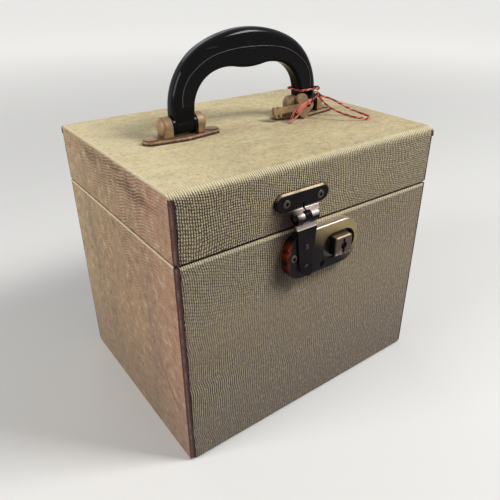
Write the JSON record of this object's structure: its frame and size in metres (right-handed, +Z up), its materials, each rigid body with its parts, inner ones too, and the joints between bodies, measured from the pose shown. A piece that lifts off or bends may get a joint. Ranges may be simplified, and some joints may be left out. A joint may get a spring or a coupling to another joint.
{
  "type": "lidded accessory box",
  "caption": "Leatherette-covered wooden box with a hinged lid, folding moulded handle on two cast feet, a hasp over a sliding-button lock, and keys tied on with red twine.",
  "frame": {"origin": "middle of the underside", "axes": "+Z up, +Y towards the back hinges, +X to the right seen from the front"},
  "size_m": [0.2286, 0.1959, 0.28],
  "materials": {
    "box_wood": "satin",
    "khaki_leatherette": "satin",
    "tan_leatherette": "satin",
    "paper_lining": "matte",
    "edge_strip": "matte",
    "bakelite": "gloss",
    "bronzed_casting": "satin",
    "steel": "satin",
    "plated_steel": "satin",
    "aged_nickel": "satin",
    "key_brass": "satin",
    "red_twine": "matte"
  },
  "bodies": {
    "base": {"base_floor_board": "box_wood", "base_left_board": "box_wood", "base_right_board": "box_wood", "base_front_board": "box_wood", "base_back_board": "box_wood", "base_front_covering": "khaki_leatherette", "base_back_covering": "tan_leatherette", "base_bottom_covering": "tan_leatherette", "base_left_covering": "tan_leatherette", "base_right_covering": "tan_leatherette", "base_corner_strips": "edge_strip", "base_lining": "paper_lining", "lock_case": "aged_nickel", "lock_backplate": "steel", "lock_case_eyelet": "aged_nickel", "lock_case_rivet": "aged_nickel", "lock_spring": "steel", "hinge_base_leaf_left": "plated_steel", "hinge_base_leaf_right": "plated_steel", "hinge_base_rivets": "steel", "hinge_pin_left": "steel", "hinge_pin_right": "steel"},
    "lid": {"lid_top_board": "box_wood", "lid_left_board": "box_wood", "lid_right_board": "box_wood", "lid_front_board": "box_wood", "lid_back_board": "box_wood", "lid_band_covering": "khaki_leatherette", "lid_left_covering": "tan_leatherette", "lid_right_covering": "tan_leatherette", "lid_corner_strips": "edge_strip", "lid_lining": "paper_lining", "hinge_lid_leaf_left": "plated_steel", "hinge_lid_leaf_right": "plated_steel", "hinge_lid_rivets": "steel", "handle_foot_left": "bronzed_casting", "handle_foot_right": "bronzed_casting", "handle_pin_left": "steel", "handle_pin_right": "steel", "handle_rivets": "steel", "handle_washers": "steel", "hasp_plate": "aged_nickel", "hasp_plate_eyelets": "aged_nickel", "hasp_pin": "steel", "key_front": "key_brass", "key_back": "key_brass", "twine_loop": "red_twine", "twine_knot": "red_twine", "twine_tie": "red_twine", "twine_bow_knot": "red_twine", "twine_tails": "red_twine"},
    "handle": {"handle_grip": "bakelite", "twine_ring": "red_twine", "twine_ring_knot": "red_twine"},
    "hasp": {"hasp_leaf": "aged_nickel", "hasp_staple": "aged_nickel"},
    "button": {"lock_button": "aged_nickel", "lock_bolt": "steel"},
    "cam": {"lock_cam": "steel"}
  },
  "joints": [
    {"name": "lid_hinge", "type": "hinge", "parent": "base", "child": "lid", "pos_m": [0, 0.0921, 0.1642], "axis": [-1, 0, 0], "range_deg": [0, 180]},
    {"name": "handle_fold", "type": "hinge", "parent": "lid", "child": "handle", "pos_m": [0, 0, 0.2192], "axis": [-1, 0, 0], "range_deg": [0, 90]},
    {"name": "hasp_swing", "type": "hinge", "parent": "lid", "child": "hasp", "pos_m": [-0.0196, -0.0935, 0.1726], "axis": [-1, 0, 0], "range_deg": [0, 150]},
    {"name": "button_slide", "type": "slide", "parent": "base", "child": "button", "axis": [1, 0, 0], "range_m": [0, 0.0049], "stiffness_N_per_m": 300, "springref_m": -0.002, "deforming": ["lock_spring"]},
    {"name": "key_cam_turn", "type": "hinge", "parent": "button", "child": "cam", "pos_m": [0.0117, -0.0974, 0.1438], "axis": [0, -1, 0], "range_deg": [0, 90]}
  ]
}
